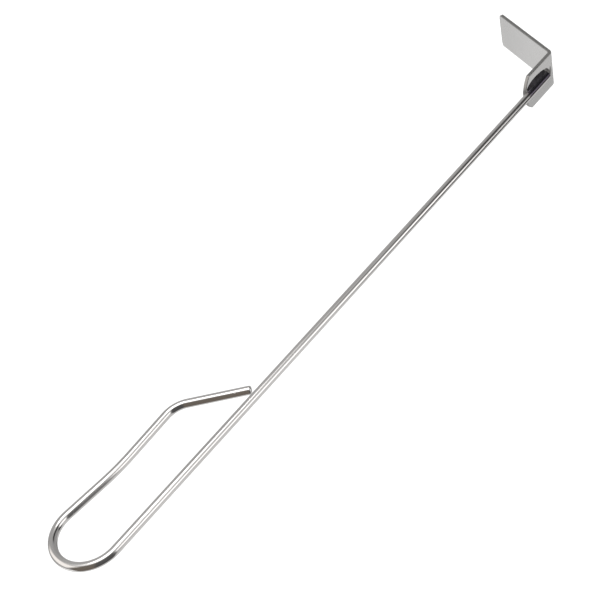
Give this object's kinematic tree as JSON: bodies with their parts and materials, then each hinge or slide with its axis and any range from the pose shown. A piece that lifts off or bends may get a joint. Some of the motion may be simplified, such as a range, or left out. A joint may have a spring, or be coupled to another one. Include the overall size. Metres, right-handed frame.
{
  "type": "hive tool",
  "caption": "Long-handled hive scraper: a round bar bent into a hand loop, welded to a bent flat strip blade.",
  "frame": {"origin": "on the shaft's axis, at the shaft's tip (the head end)", "axes": "+X along the shaft from the hand loop towards the head, +Y towards the side on which the loop and the blade both stand out, +Z across the strip, square to the flat plane of the loop"},
  "size_m": [0.485, 0.0622, 0.025],
  "materials": {
    "bar": "polished round stainless bar",
    "strip": "fine satin stainless sheet",
    "weld": "heat-tinted weld metal"
  },
  "bodies": {
    "root": {"handle_rod": "bar", "scraper_blade": "strip", "weld_bead_near": "weld", "weld_bead_far": "weld", "weld_bead_tip": "weld"}
  },
  "joints": []
}
